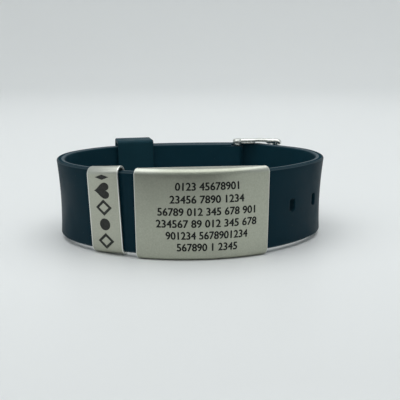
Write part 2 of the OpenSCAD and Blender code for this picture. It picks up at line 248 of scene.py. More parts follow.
def flat_strap():
    """The strap as it leaves the mould."""
    half_w = strap_w / 2
    tail = [(tail_start + tail_round_r * math.sin(math.radians(a)), -tail_round_r * math.cos(math.radians(a)))
            for a in range(0, 181, 6)]
    outline = [(0, -half_w)] + tail + [(0, half_w)]
    bm = skin([[(x, inward, z) for x, z in outline] for inward in (0, strap_t)])
    round_off(bm, strap_rim_r, 5, lambda p, q: abs(p.y - q.y) < 1e-6 and p.x + q.x > 1e-6)
    eye = [(-eye_r * math.sin(math.radians(a)), bar_in - eye_r * math.cos(math.radians(a)))
           for a in range(0, 181, 12)]
    eye_back = bar_in + eye_r
    foot = strap_t - fairing_sink
    fairing = [(eye_run * i / fairing_steps,
                foot + (eye_back - foot) * (1 + math.cos(math.pi * i / fairing_steps)) / 2)
               for i in range(1, fairing_steps + 1)]
    lug = skin([[(x, y, z) for x, y in eye + fairing + [(eye_run, strap_t / 2)]]
                for z in (eye_low, eye_high)])
    # The bore's edges are turned a little off those of the lug
    bore = skin([[(eye_bore_r * math.cos(math.radians(a)), bar_in + eye_bore_r * math.sin(math.radians(a)), z)
                  for a in range(7, 360, 15)] for z in (-strap_w, strap_w)])
    notch = block((-strap_w, -cut_past, -tongue_notch / 2), (eye_shoulder, strap_w, tongue_notch / 2))
    shoulders = [block((-strap_w, -cut_past, low), (eye_shoulder, strap_w, high))
                 for low, high in ((-strap_w, eye_low), (eye_high, strap_w))]
    bend = math.degrees(math.asin(rise_d * math.sin(math.radians(used_hole_turn - rise_turn)) / rise_r))
    used_hole = route_starts[4] + rise_r * math.radians(used_hole_turn - rise_turn - bend)
    holes = [(front_middle + first_hole + i * hole_pitch, hole_len, hole_h) for i in range(5)]
    holes += [(used_hole, used_hole_len, used_hole_h)]
    holes += [(route_starts[7] + tail_first_hole + i * hole_pitch, hole_len, hole_h) for i in range(3)]
    return carved(bm, [
        ("UNION", lug),
        ("DIFFERENCE", bore),
        ("DIFFERENCE", notch),
        ("DIFFERENCE", joined(shoulders)),
        ("DIFFERENCE", joined([hole_cutter(*hole) for hole in holes])),
    ])


def below_rim(point):
    """How far a point of the flat strap lies below its rim, along the tail's round end too."""
    beyond = max(point.x - tail_start, 0)
    return strap_w / 2 - (math.hypot(beyond, point.z) if beyond > 0 else abs(point.z))


def mark_rim_wear_and_painted_light(bm):
    """Marks pale lines along the strap's rims (partly rubbed wear, partly painted highlight), marks its inner
    face for painted light, and makes the rims' flats matt.
    """
    rim, inner = bm.verts.layers.float.new("rim"), bm.verts.layers.float.new("inner")
    for v in bm.verts:
        below = below_rim(v.co)
        outside = v.co.y < strap_t / 2
        # Painted highlight lines, partly wear: one along each rim's outer edge and one along its inner edge
        rim_highlight_and_wear = 1 - abs(below - rim_highlight_and_wear_below) / rim_highlight_and_wear_half if outside else 1 - below / rim_highlight_and_wear_inside
        v[rim] = min(max(rim_highlight_and_wear, 0), 1)
        # Painted light: the inner face is marked to be drawn paler
        v[inner] = 1 if v.co.y > strap_t - strap_rim_r else 0
    for face in bm.faces:
        middle = face.calc_center_median()
        if rim_matt[0] < middle.y < rim_matt[1] and below_rim(middle) < rim_flat:
            face.material_index = 1


def wire(tree, kind, inputs=None, **settings):
    """One shader node, with its settings and its inputs, each a value or another node's output."""
    node = tree.nodes.new(kind)
    for key, value in settings.items():
        setattr(node, key, value)
    for key, value in (inputs or {}).items():
        if isinstance(value, bpy.types.NodeSocket):
            tree.links.new(value, node.inputs[key])
        else:
            node.inputs[key].default_value = value
    return node


def effect(name, inputs, outputs):
    """An empty node group with named values going in and named values or colours coming out."""
    tree = bpy.data.node_groups.new(name, "ShaderNodeTree")
    for label, value in inputs.items():
        socket = tree.interface.new_socket(label, in_out="INPUT", socket_type="NodeSocketFloat")
        socket.default_value = value
    for label in outputs:
        tree.interface.new_socket(label, in_out="OUTPUT", socket_type="NodeSocketFloat")
    return tree, tree.nodes.new("NodeGroupInput"), tree.nodes.new("NodeGroupOutput")


def moulded_skin():
    """Group: the fine grain that a mould leaves on silicone, and where hands have dulled it."""
    tree, given, made = effect("Moulded skin", {"Grain": 2600.0, "Patch": 120.0},
                               ("Height", "Tone", "Dull"))
    spot = wire(tree, "ShaderNodeTexCoord").outputs["Object"]
    grain = wire(tree, "ShaderNodeTexNoise", {"Vector": spot, "Scale": given.outputs["Grain"],
                                              "Detail": 3.0, "Roughness": 0.6})
    patch = wire(tree, "ShaderNodeTexNoise", {"Vector": spot, "Scale": given.outputs["Patch"],
                                              "Detail": 4.0, "Roughness": 0.55})
    dull = wire(tree, "ShaderNodeMapRange", {"Value": patch.outputs["Fac"], "From Min": 0.4,
                                             "From Max": 0.65})
    tree.links.new(grain.outputs["Fac"], made.inputs["Height"])
    tree.links.new(patch.outputs["Fac"], made.inputs["Tone"])
    tree.links.new(dull.outputs["Result"], made.inputs["Dull"])
    return tree


def settled_dust():
    """Group: sparse specks of lint and dust."""
    tree, given, made = effect("Settled dust", {"Spacing": 900.0, "Size": 0.07}, ("Specks",))
    spot = wire(tree, "ShaderNodeTexCoord").outputs["Object"]
    cells = wire(tree, "ShaderNodeTexVoronoi", {"Vector": spot, "Scale": given.outputs["Spacing"],
                                                "Randomness": 1.0})
    near = wire(tree, "ShaderNodeMath", {0: cells.outputs["Distance"], 1: given.outputs["Size"]},
                operation="LESS_THAN")
    rare = wire(tree, "ShaderNodeTexNoise", {"Vector": spot, "Scale": 260.0, "Detail": 2.0})
    some = wire(tree, "ShaderNodeMath", {0: rare.outputs["Fac"], 1: 0.56}, operation="GREATER_THAN")
    both = wire(tree, "ShaderNodeMath", {0: near.outputs[0], 1: some.outputs[0]}, operation="MULTIPLY")
    tree.links.new(both.outputs[0], made.inputs["Specks"])
    return tree


def placed(tree, group, **values):
    """A node group put into a material with its own values."""
    node = tree.nodes.new("ShaderNodeGroup")
    node.node_tree = group
    for key, value in values.items():
        node.inputs[key.replace("_", " ")].default_value = value
    return node


def mixed(tree, share, first, second):
    """Colour between two others."""
    node = tree.nodes.new("ShaderNodeMix")
    node.data_type = "RGBA"
    for key, value in (("Factor", share), ("A", first), ("B", second)):
        socket = next(s for s in node.inputs if s.name == key and s.enabled)
        if isinstance(value, bpy.types.NodeSocket):
            tree.links.new(value, socket)
        else:
            socket.default_value = value
    return next(s for s in node.outputs if s.enabled)


def ranged(tree, value, low, high):
    """A value from 0 to 1 stretched between two others."""
    return wire(tree, "ShaderNodeMapRange", {"Value": value, "To Min": low, "To Max": high}).outputs["Result"]


def silicone_finish(name, deep, pale, rim_highlight_and_wear_colour, shine, specular, grain, patch):
    """Matt dark silicone with a moulded grain and some dust, paler along its rims (partly rubbed wear, partly
    painted highlight) and on its inner face (painted light).
    """
    material = bpy.data.materials.new(name)
    material.use_nodes = True
    tree = material.node_tree
    shader = tree.nodes["Principled BSDF"]
    shader.inputs["IOR"].default_value = 1.43
    shader.inputs["Specular IOR Level"].default_value = specular
    rim_highlight_and_wear = wire(tree, "ShaderNodeAttribute", attribute_name="rim")
    inner = wire(tree, "ShaderNodeAttribute", attribute_name="inner")
    skin_marks = placed(tree, skin_group, Grain=grain, Patch=patch)
    dust = placed(tree, dust_group, Spacing=900.0, Size=0.07)
    colour = mixed(tree, skin_marks.outputs["Tone"], deep, pale)
    # Painted light: the inner face is drawn paler
    colour = mixed(tree, inner.outputs["Fac"], colour, inner_face_painted_light_colour)
    dusty = wire(tree, "ShaderNodeMath", {0: dust.outputs["Specks"], 1: 0.25}, operation="MULTIPLY")
    colour = mixed(tree, dusty.outputs[0], colour, dust_colour)
    # Painted highlight, partly rubbed wear, along the rims
    colour = mixed(tree, rim_highlight_and_wear.outputs["Fac"], colour, rim_highlight_and_wear_colour)
    tree.links.new(colour, shader.inputs["Base Color"])
    tree.links.new(ranged(tree, skin_marks.outputs["Dull"], *shine), shader.inputs["Roughness"])
    bump = wire(tree, "ShaderNodeBump", {"Height": skin_marks.outputs["Height"], "Strength": 0.25,
                                         "Distance": 0.00002})
    tree.links.new(bump.outputs["Normal"], shader.inputs["Normal"])
    return material


def dressed(name, bm, finishes, nodes, crisp=38):
    """The object of a piece: smooth except at corners sharper than crisp, and set in the frame."""
    bmesh.ops.dissolve_degenerate(bm, dist=1e-7, edges=bm.edges)
    mesh = bpy.data.meshes.new(name)
    bm.to_mesh(mesh)
    bm.free()
    for finish in finishes:
        mesh.materials.append(finish)
    mesh.shade_smooth()
    mesh.set_sharp_from_angle(angle=math.radians(crisp))
    piece = bpy.data.objects.new(name, mesh)
    bpy.context.scene.collection.objects.link(piece)
    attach(piece, "root")
    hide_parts(*nodes)
    return piece


skin_group = moulded_skin()
dust_group = settled_dust()
# Third colour: the pale rim lines, partly rubbed wear and partly painted highlight
strap_silicone = silicone_finish("strap_silicone", (0.0015, 0.017, 0.027, 1), (0.0025, 0.022, 0.034, 1),
                                 (0.06, 0.088, 0.105, 1), (0.42, 0.56), 0.1, 2600.0, 120.0)
strap_rim = silicone_finish("strap_rim_matt", (0.01, 0.03, 0.04, 1), (0.013, 0.035, 0.047, 1),
                            (0.02, 0.042, 0.054, 1), (0.7, 0.8), 0.0, 2600.0, 120.0)
strap = flat_strap()
score_at(strap, 1, rim_matt)
score(strap, 2, -strap_w / 2, strap_w / 2, lean_step)
score(strap, 0, -eye_r, tail_start + tail_round_r, bend_step)
mark_rim_wear_and_painted_light(strap)
for vertex in strap.verts:
    vertex.co = wrap_strap(*vertex.co)
dressed("strap_band", strap, [strap_silicone, strap_rim], ["strap"])

# Keeper
# A loop of the same silicone, moulded on its own and pushed over both layers of the strap to hold the
# tail. Its walls are thin and its edges are rounded by the mould.
keeper_w, keeper_t, keeper_foot_t, keeper_top_t = 10.6, 1.15, 1.0, 1.2
keeper_in, keeper_clear, keeper_dip = 1.3, 0.2, 0.4
keeper_corner_r, keeper_rim_r = 1.0, 0.4

keeper_turn = 180 + back_half - math.degrees(keeper_in / back_r)
keeper_low, keeper_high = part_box("keeper")
keeper_h = (keeper_high.z - keeper_low.z) / MM
keeper_out = tail_step + keeper_clear + keeper_t
keeper_inside = strap_t + keeper_clear + keeper_dip + keeper_t
keeper_middle = ((keeper_inside - keeper_out) / 2, keeper_h / 2)
outer_loop = rounded_loop(keeper_middle, (keeper_out + keeper_inside, keeper_h), keeper_corner_r)
inner_loop = rounded_loop((keeper_middle[0], (keeper_foot_t + keeper_h - keeper_top_t) / 2),
                          (keeper_out + keeper_inside - 2 * keeper_t,
                           keeper_h - keeper_foot_t - keeper_top_t), keeper_corner_r - keeper_t / 2)
wall = rounded_loop((0, keeper_t / 2), (keeper_w, keeper_t), keeper_rim_r)
keeper_rings = []
for (inner_y, inner_z), (outer_y, outer_z) in zip(inner_loop, outer_loop):
    keeper_rings.append([(x, inner_y + (outer_y - inner_y) * out / keeper_t,
                          inner_z + (outer_z - inner_z) * out / keeper_t) for x, out in wall])
keeper = skin(keeper_rings, closed=True)
keeper_right = Vector((-outward(keeper_turn).y, outward(keeper_turn).x, 0))
for vertex in keeper.verts:
    across, inward, z = vertex.co
    vertex.co = loop_place(back_c, back_r - inward, keeper_turn, z) + MM * across * keeper_right
keeper_silicone = silicone_finish("keeper_silicone", (0.006, 0.034, 0.048, 1), (0.008, 0.041, 0.057, 1),
                                  (0.03, 0.05, 0.062, 1), (0.5, 0.62), 0.12, 2900.0, 160.0)
dressed("keeper_loop", keeper, [keeper_silicone], ["keeper"])

# Identity plate
# Stainless steel sheet, curved to the wrist, with its top and bottom edges bent back over the strap's
# rims and a tab behind the strap on each. Its face is blasted to a satin grey, its ends and upper bend
# are brighter (partly polish, partly painted highlight), and rows of plain counting digits are engraved in it
# and darkened.
plate_h, plate_t, plate_gap = 22.2, 0.9, 0.2
plate_half, plate_turn = 24.25, 0.1
plate_bend_r, plate_inner_r = 1.4, 0.5
plate_soft, sheet_step = 0.22, 0.6
plate_bow_r, plate_widest, plate_corner_r = 72.0, 12.2, 0.45
plate_crown, plate_crown_from = 0.18, 14.5
plate_r = front_r + plate_gap + plate_t
plate_len = plate_r * math.radians(plate_half)
tab_w, tab_h, tab_gap = 10.0, 3.4, 0.15
tab_back = math.sqrt((front_r - strap_t) ** 2 - (tab_w / 2) ** 2) - tab_gap - plate_t
engrave_depth, engrave_slack = 0.07, 1e-3
# Brighter steel at the sheet's ends and upper bend, growing towards the plate's corners: partly polish,
# partly painted highlight
polish_and_highlight_colour = (0.8, 0.81, 0.76, 1)
corner_polish_highlight, corner_polish_highlight_from, corner_polish_highlight_run = 0.35, 0.4, 0.5
digit_h, digit_shift = 1.85, 0.85
# Each row is cut three times, a little apart, which makes its strokes as bold as an engraver's
engrave_passes = ((-0.09, -0.05), (0.092, -0.041), (0.005, 0.075))
# Rows of the engraving: height of their middle, width, digits
digit_rows = [
    (18.2, 15.5, "0123 45678901"),
    (15.1, 18.0, "23456 7890 1234"),
    (12.1, 23.8, "56789 012 345 678 901"),
    (9.2, 24.7, "234567 89 012 345 678"),
    (6.3, 20.2, "901234 5678901234"),
    (3.4, 15.1, "567890 1 2345"),
]


def arc(middle, radius, first, last, steps):
    """Points of an arc, from one angle to another."""
    return [(middle[0] + radius * math.cos(math.radians(first + (last - first) * i / steps)),
             middle[1] + radius * math.sin(math.radians(first + (last - first) * i / steps)))
            for i in range(steps + 1)]


def engraved_row(text, width, height, middle_x, middle_z, depth):
    """Cutter for one row of digits in the flat plate."""
    words = bpy.data.curves.new("digits", "FONT")
    words.body, words.align_x, words.resolution_u = text, "CENTER", 3
    holder = bpy.data.objects.new("digits", words)
    bpy.context.scene.collection.objects.link(holder)
    bpy.context.view_layer.update()
    mesh = bpy.data.meshes.new_from_object(holder.evaluated_get(bpy.context.evaluated_depsgraph_get()))
    bpy.data.objects.remove(holder)
    bm = bmesh.new()
    bm.from_mesh(mesh)
    bpy.data.meshes.remove(mesh)
    bmesh.ops.remove_doubles(bm, verts=bm.verts, dist=1e-4)
    bmesh.ops.beautify_fill(bm, faces=bm.faces, edges=bm.edges, method="AREA")
    xs, ys = [v.co.x for v in bm.verts], [v.co.y for v in bm.verts]
    deep = bmesh.ops.extrude_face_region(bm, geom=bm.faces[:])["geom"]
    deep = {v for v in deep if isinstance(v, bmesh.types.BMVert)}
    for v in bm.verts:
        v.co = (middle_x + (v.co.x - (min(xs) + max(xs)) / 2) * width / (max(xs) - min(xs)),
                depth if v in deep else -0.5,
                middle_z + (v.co.y - (min(ys) + max(ys)) / 2) * height / (max(ys) - min(ys)))
    bmesh.ops.recalc_face_normals(bm, faces=bm.faces)
    return bm


def darkened(bm, surface, low_z, high_z, reach):
    """Gives the second material to the faces that an engraving cut into a flat sheet's outer face."""
    for face in bm.faces:
        deepest = max(v.co.y for v in face.verts)
        middle = face.calc_center_median()
        cut = surface + engrave_slack < deepest < surface + engrave_depth + engrave_slack
        if cut and low_z < middle.z < high_z and abs(middle.x) < reach:
            face.material_index = 1


def mark_end_highlights(bm, half, polish_and_highlight):
    """Marks the two ends of a flat sheet as brighter steel (partly polish, partly painted highlight), and
    ends the mark in a crisp line.
    """
    for reach in (polish_and_highlight, 1.3 * polish_and_highlight):
        score_at(bm, 0, (reach - half, half - reach))
    mark = bm.verts.layers.float.new("edge")
    for v in bm.verts:
        v[mark] = 1 if half - abs(v.co.x) < 1.05 * polish_and_highlight else 0


def mark_bend_highlight(bm, top, bend_r, share_at):
    """Marks the upper bend of a sheet as brighter steel (partly polish, partly painted highlight), by a share
    that may change along it.
    """
    mark = bm.verts.layers.float["edge"]
    for v in bm.verts:
        on_bend = ease((v.co.z - top + 1.1 * bend_r) / (0.5 * bend_r))
        v[mark] = max(v[mark], share_at(v.co.x) * on_bend)


def plate_share(z):
    """Share of its full width that the plate has at a height: its ends bow out and its corners are round."""
    full = plate_r * math.sin(math.radians(plate_half))
    from_corner = min(max(plate_corner_r - min(z, plate_h - z), 0), plate_corner_r)
    corner = plate_corner_r - math.sqrt(plate_corner_r ** 2 - from_corner ** 2)
    return 1 - ((z - plate_widest) ** 2 / (2 * plate_bow_r) + corner) / full


plate_section = (
    [(0, plate_bend_r)] + arc((plate_bend_r, plate_h - plate_bend_r), plate_bend_r, 180, 90, 8)
    + [(plate_r - tab_back, plate_h), (plate_r - tab_back, plate_h - plate_t)]
    + arc((plate_t + plate_inner_r, plate_h - plate_t - plate_inner_r), plate_inner_r, 90, 180, 4)
    + arc((plate_t + plate_inner_r, plate_t + plate_inner_r), plate_inner_r, 180, 270, 4)
    + [(plate_r - tab_back, plate_t), (plate_r - tab_back, 0)]
    + arc((plate_bend_r, plate_bend_r), plate_bend_r, 270, 180, 8)[:-1]
)
plate = skin([[(x, inward, z) for inward, z in plate_section] for x in (-plate_len, plate_len)])
round_off(plate, plate_soft, 3, lambda p, q: abs(p.x - q.x) < 1e-6
          or min(p.y, q.y) > plate_r - tab_back - 1e-6)
plate_deep = plate_r - tab_back
tab_run = plate_r * math.asin(tab_w / 2 / (tab_back + plate_t))
tabs = []
for low, high in ((plate_t / 3, tab_h), (plate_h - tab_h, plate_h - plate_t / 3)):
    tabs.append(block((-tab_run, plate_deep - plate_t, low), (tab_run, plate_deep - 0.01, high)))
    round_off(tabs[-1], plate_soft, 3, lambda p, q: True)
plate = carved(plate, [("UNION", joined(tabs))] + [
    ("DIFFERENCE", joined([engraved_row(text, width, digit_h, digit_shift + aside, z + rise, engrave_depth)
                           for z, width, text in digit_rows]))
    for aside, rise in engrave_passes])
darkened(plate, 0, plate_bend_r, plate_h - plate_bend_r, plate_len - 1)
score(plate, 0, -plate_len, plate_len, sheet_step)
# Painted highlight, partly polish, on the plate's ends and upper bend
mark_end_highlights(plate, plate_len, plate_soft)
mark_bend_highlight(plate, plate_h, plate_bend_r, lambda x: corner_polish_highlight * ease(
    (abs(x) / plate_len - corner_polish_highlight_from) / corner_polish_highlight_run))
for vertex in plate.verts:
    along, inward, z = vertex.co
    edge_line = plate_r - tab_back / math.cos(along / plate_r)
    if inward > plate_bend_r:
        share = (inward - plate_bend_r) / (plate_deep - plate_bend_r)
        inward = plate_bend_r + share * (edge_line - plate_bend_r)
    if inward < plate_bend_r:
        crowned = max(z - plate_crown_from, 0) / (plate_h - plate_crown_from)
        inward += plate_crown * crowned ** 2 * (1 - inward / plate_bend_r)
    turn = math.degrees(math.asin(math.sin(along / plate_r) * plate_share(z)))
    vertex.co = loop_place(front_c, plate_r - inward, plate_turn + turn, z)


def satin_grain():
    """Group: the fine pits of a blasted or satin face, and broad changes in its shine."""
    tree, given, made = effect("Satin grain", {"Grain": 6000.0, "Patch": 150.0}, ("Height", "Tone", "Shine"))
    spot = wire(tree, "ShaderNodeTexCoord").outputs["Object"]
    grain = wire(tree, "ShaderNodeTexNoise", {"Vector": spot, "Scale": given.outputs["Grain"],
                                              "Detail": 2.0, "Roughness": 0.7})
    patch = wire(tree, "ShaderNodeTexNoise", {"Vector": spot, "Scale": given.outputs["Patch"],
                                              "Detail": 3.0})
    tree.links.new(grain.outputs["Fac"], made.inputs["Height"])
    tree.links.new(grain.outputs["Fac"], made.inputs["Tone"])
    tree.links.new(patch.outputs["Fac"], made.inputs["Shine"])
    return tree


def scratches():
    """Group: fine scratches that cross at random, as wear leaves them on steel."""
    tree, given, made = effect("Scratches", {"Length": 60.0, "Fineness": 5200.0}, ("Height", "Mask"))
    spot = wire(tree, "ShaderNodeTexCoord").outputs["Object"]
    marks = None
    for angle in (0.5, 1.9):
        turned = wire(tree, "ShaderNodeVectorRotate", {"Vector": spot, "Angle": angle},
                      rotation_type="Y_AXIS")
        stretch = wire(tree, "ShaderNodeCombineXYZ", {"X": given.outputs["Length"],
                                                      "Y": given.outputs["Length"],
                                                      "Z": given.outputs["Fineness"]})
        long = wire(tree, "ShaderNodeVectorMath", {0: turned.outputs[0], 1: stretch.outputs[0]},
                    operation="MULTIPLY")
        lines = wire(tree, "ShaderNodeTexNoise", {"Vector": long.outputs[0], "Scale": 1.0, "Detail": 1.0})
        mask = wire(tree, "ShaderNodeMapRange", {"Value": lines.outputs["Fac"], "From Min": 0.62,
                                                 "From Max": 0.72})
        marks = mask.outputs["Result"] if marks is None else wire(
            tree, "ShaderNodeMath", {0: marks, 1: mask.outputs["Result"]}, operation="MAXIMUM").outputs[0]
    tree.links.new(marks, made.inputs["Mask"])
    tree.links.new(marks, made.inputs["Height"])
    return tree


def steel_finish(name, colour, dark_colour, shine, grain, bump_depth, scratch_share, scratch_len):
    """Stainless steel with a satin grain and a few scratches, brighter where marked at its ends and bends:
    partly polish, partly painted highlight.
    """
    material = bpy.data.materials.new(name)
    material.use_nodes = True
    tree = material.node_tree
    shader = tree.nodes["Principled BSDF"]
    shader.inputs["Metallic"].default_value = 1.0
    satin = placed(tree, satin_group, Grain=grain, Patch=150.0)
    worn = placed(tree, scratch_group, Length=scratch_len, Fineness=5200.0)
    polish_and_highlight = wire(tree, "ShaderNodeAttribute", attribute_name="edge")
    tone = mixed(tree, satin.outputs["Tone"], dark_colour, colour)
    # Painted highlight, partly polish, where the ends and bends are marked
    tone = mixed(tree, polish_and_highlight.outputs["Fac"], tone, polish_and_highlight_colour)
    tree.links.new(tone, shader.inputs["Base Color"])
    rough = ranged(tree, satin.outputs["Shine"], *shine)
    scratched = wire(tree, "ShaderNodeMath", {0: worn.outputs["Mask"], 1: scratch_share},
                     operation="MULTIPLY")
    rough = wire(tree, "ShaderNodeMath", {0: rough, 1: scratched.outputs[0]}, operation="ADD")
    tree.links.new(rough.outputs[0], shader.inputs["Roughness"])
    bump = wire(tree, "ShaderNodeBump", {"Height": satin.outputs["Height"], "Strength": 0.5,
                                         "Distance": bump_depth})
    tree.links.new(bump.outputs["Normal"], shader.inputs["Normal"])
    return material


def engraving_finish(name, dark, pale):
    """The darkened floor of an engraving."""
    material = bpy.data.materials.new(name)
    material.use_nodes = True
    tree = material.node_tree
    shader = tree.nodes["Principled BSDF"]
    shader.inputs["Metallic"].default_value = 0.3
    shader.inputs["Roughness"].default_value = 0.7
    satin = placed(tree, satin_group, Grain=2600.0)
    tree.links.new(mixed(tree, satin.outputs["Tone"], dark, pale), shader.inputs["Base Color"])
    return material


satin_group = satin_grain()
scratch_group = scratches()
plate_steel = steel_finish("plate_steel", (0.51, 0.525, 0.44, 1), (0.325, 0.34, 0.277, 1), (0.30, 0.38),
                           2500.0, 0.000012, 0.05, 60.0)
plate_engraving = engraving_finish("plate_engraving", (0.003, 0.004, 0.004, 1), (0.016, 0.018, 0.017, 1))
dressed("plate_sheet", plate, [plate_steel, plate_engraving], ["id_plate"])

# Charm
# A narrow sleeve of thin steel sheet, bent round the strap beside the plate with its open side at the
# back. Its face has a fine satin grain, its ends and upper bend are brighter (partly polish, partly
# painted highlight), and the motifs engraved in it are plain ornament.
charm_w, charm_t, charm_gap, charm_h = 9.0, 0.5, 0.25, 21.75
charm_from_front, charm_lean, charm_foot, charm_out, charm_skew = 24.5, 2.6, 0.2, 0.3, 0.05
charm_lip_h, charm_soft, charm_polish_highlight = 6.5, 0.12, 0.45
charm_r = strap_t / 2 + charm_gap + charm_t
charm_in_r = charm_r - charm_t
charm_mid = strap_t / 2
charm_section = (
    [(charm_mid + charm_r, charm_lip_h)]
    + arc((charm_mid, charm_r), charm_r, 0, -180, 16)
    + arc((charm_mid, charm_h - charm_r), charm_r, 180, 0, 16)
    + [(charm_mid + charm_r, charm_h - charm_lip_h), (charm_mid + charm_in_r, charm_h - charm_lip_h)]
    + arc((charm_mid, charm_h - charm_r), charm_in_r, 0, 180, 16)
    + arc((charm_mid, charm_r), charm_in_r, -180, 0, 16)
    + [(charm_mid + charm_in_r, charm_lip_h)]
)
charm_face = charm_mid - charm_r


def motif_cutter(points, middle_z, depth):
    """Cutter for one engraved motif, given as (along, up) about its middle."""
    return skin([[(x, inward, middle_z + z) for x, z in points] for inward in (charm_face - 0.5, depth)])


def heart_outline(length, height):
    """A plain heart lying on its side, its point to the left."""
    points = []
    for i in range(40):
        t = 2 * math.pi * i / 40
        x = 16 * math.sin(t) ** 3
        y = 13 * math.cos(t) - 5 * math.cos(2 * t) - 2 * math.cos(3 * t) - math.cos(4 * t)
        points.append((y * length / 32, x * height / 32))
    return points


def lozenge(width, height):
    """Outline of a lozenge."""
    return [(-width / 2, 0), (0, -height / 2), (width / 2, 0), (0, height / 2)]


def frame_cutter(outer, inner, middle_z, depth):
    """Cutter for an engraved line that runs round between two outlines."""
    return skin([[(a[0], charm_face - 0.5, middle_z + a[1]), (a[0], depth, middle_z + a[1]),
                  (b[0], depth, middle_z + b[1]), (b[0], charm_face - 0.5, middle_z + b[1])]
                 for a, b in zip(outer, inner)], closed=True)


charm = skin([[(x, inward, z) for inward, z in charm_section] for x in (-charm_w / 2, charm_w / 2)])
round_off(charm, charm_soft, 2, lambda p, q: abs(p.x - q.x) < 1e-6
          or (abs(p.z - q.z) < 1e-6 and min(p.y, q.y) > charm_mid + charm_in_r - 1e-6
              and charm_lip_h - 1e-6 < p.z < charm_h - charm_lip_h + 1e-6))
charm_cut = charm_face + engrave_depth
motifs = [
    motif_cutter(lozenge(4.0, 1.3), 19.3, charm_cut),
    motif_cutter(heart_outline(4.9, 4.0), 16.0, charm_cut),
    frame_cutter(lozenge(4.6, 4.1), lozenge(2.7, 2.3), 11.8, charm_cut),
    motif_cutter([(1.5 * math.cos(math.radians(a)), 1.5 * math.sin(math.radians(a)))
                  for a in range(0, 360, 12)], 7.6, charm_cut),
    frame_cutter(lozenge(4.6, 4.1), lozenge(2.7, 2.3), 3.4, charm_cut),
]
charm = carved(charm, [("DIFFERENCE", joined(motifs))])
darkened(charm, charm_face, charm_r, charm_h - charm_r, charm_w / 2 - 0.5)
score(charm, 0, -charm_w / 2, charm_w / 2, sheet_step)
# Painted highlight, partly polish, on the charm's ends and upper bend
mark_end_highlights(charm, charm_w / 2, 2 * charm_soft)
mark_bend_highlight(charm, charm_h, charm_r, lambda x: charm_polish_highlight)
tilt = math.radians(charm_lean)
for vertex in charm.verts:
    along, inward, z = vertex.co
    up = z - charm_h / 2
    skewed = charm_skew * along * ease((z - charm_h / 2) / (charm_h / 2 - charm_r))
    leant = along * math.cos(tilt) - up * math.sin(tilt)
    up = along * math.sin(tilt) + up * math.cos(tilt) + skewed
    vertex.co = loop_place(front_c, front_r - inward + charm_out * (0.5 + up / charm_h),
                           math.degrees((leant - charm_from_front) / front_r), charm_foot + charm_h / 2 + up)
charm_steel = steel_finish("charm_steel", (0.49, 0.5, 0.42, 1), (0.345, 0.355, 0.295, 1), (0.28, 0.36),
                           2800.0, 0.00001, 0.05, 80.0)
charm_engraving = engraving_finish("charm_engraving", (0.005, 0.006, 0.005, 1), (0.05, 0.052, 0.048, 1))
dressed("charm_sleeve", charm, [charm_steel, charm_engraving], ["charm"])

# Buckle
# A small pin buckle of polished steel. The frame is one casting: a cross bar, two bowed arms and two
# bosses that hold the spring bar. The tongue is a bent bar rolled round the spring bar, and it goes
# through a hole of the strap to rest on the cross bar.
frame_h, arm_t, arm_w, arm_bow_r, arm_corner_r = 22.7, 1.0, 2.2, 30.0, 1.1
arm_inset, arm_round, arm_steps, arm_end_steps = 0.001, 0.48, 48, 8
top_arm_drop, top_arm_reach, arm_end_share = 0.53, 1.5, 0.97
arm_thin_from, arm_thin_until, arm_thin_fade = 0.2, 0.52, 0.08
cross_bar_r, cross_bar_turn, cross_bar_clear = 1.1, 142.7, 0.15
cross_bar_low, cross_bar_top_gap, cross_bar_rim_r = 0.002, 0.5, 0.35
boss_r, boss_h, boss_rim_r = 1.45, 2.0, 0.7
spring_bar_r, tip_r, tip_bore_r, tip_len, tip_clear = 0.75, 0.45, 0.5, 1.2, 0.1
bar_chamfer, bar_groove = 0.1, 0.12
tongue_t, tongue_w, tongue_clear, tongue_round, roll_round = 1.0, 1.8, 0.1, 0.28, 0.15
bar_p = right_c + (side_r - bar_in) * outward(side_end)
bar_rise = math.radians(cross_bar_turn - rise_turn)
cross_bar_rad = (math.sqrt(rise_r ** 2 - (rise_d * math.sin(bar_rise)) ** 2) - rise_d * math.cos(bar_rise)
                 + cross_bar_clear + cross_bar_r)
cross_p = right_c + cross_bar_rad * outward(cross_bar_turn)
# The tongue's path from the spring bar to its point: turn and reach about the right side's centre
tongue_path = [(172, 19.7), (164, 20.1), (157.7, 20.7), (152.3, 25.3),
               (cross_bar_turn, cross_bar_rad + cross_bar_r + tongue_clear + tongue_t / 2), (138.6, 25.3)]


def turned(middle, profile, steps=40):
    """Piece turned on a lathe about an upright axis, from a profile of (radius, height)."""
    return skin([[(middle.x + radius * math.cos(2 * math.pi * i / steps),
                   middle.y + radius * math.sin(2 * math.pi * i / steps), z) for i in range(steps)]
                 for radius, z in profile])


def round_ended(radius, low, high, rim):
    """Profile of a bar with rounded rims."""
    foot = [(radius - rim + rim * math.sin(math.radians(a)), low + rim - rim * math.cos(math.radians(a)))
            for a in (0, 30, 60, 90)]
    return foot + [(r, low + high - z) for r, z in reversed(foot)]


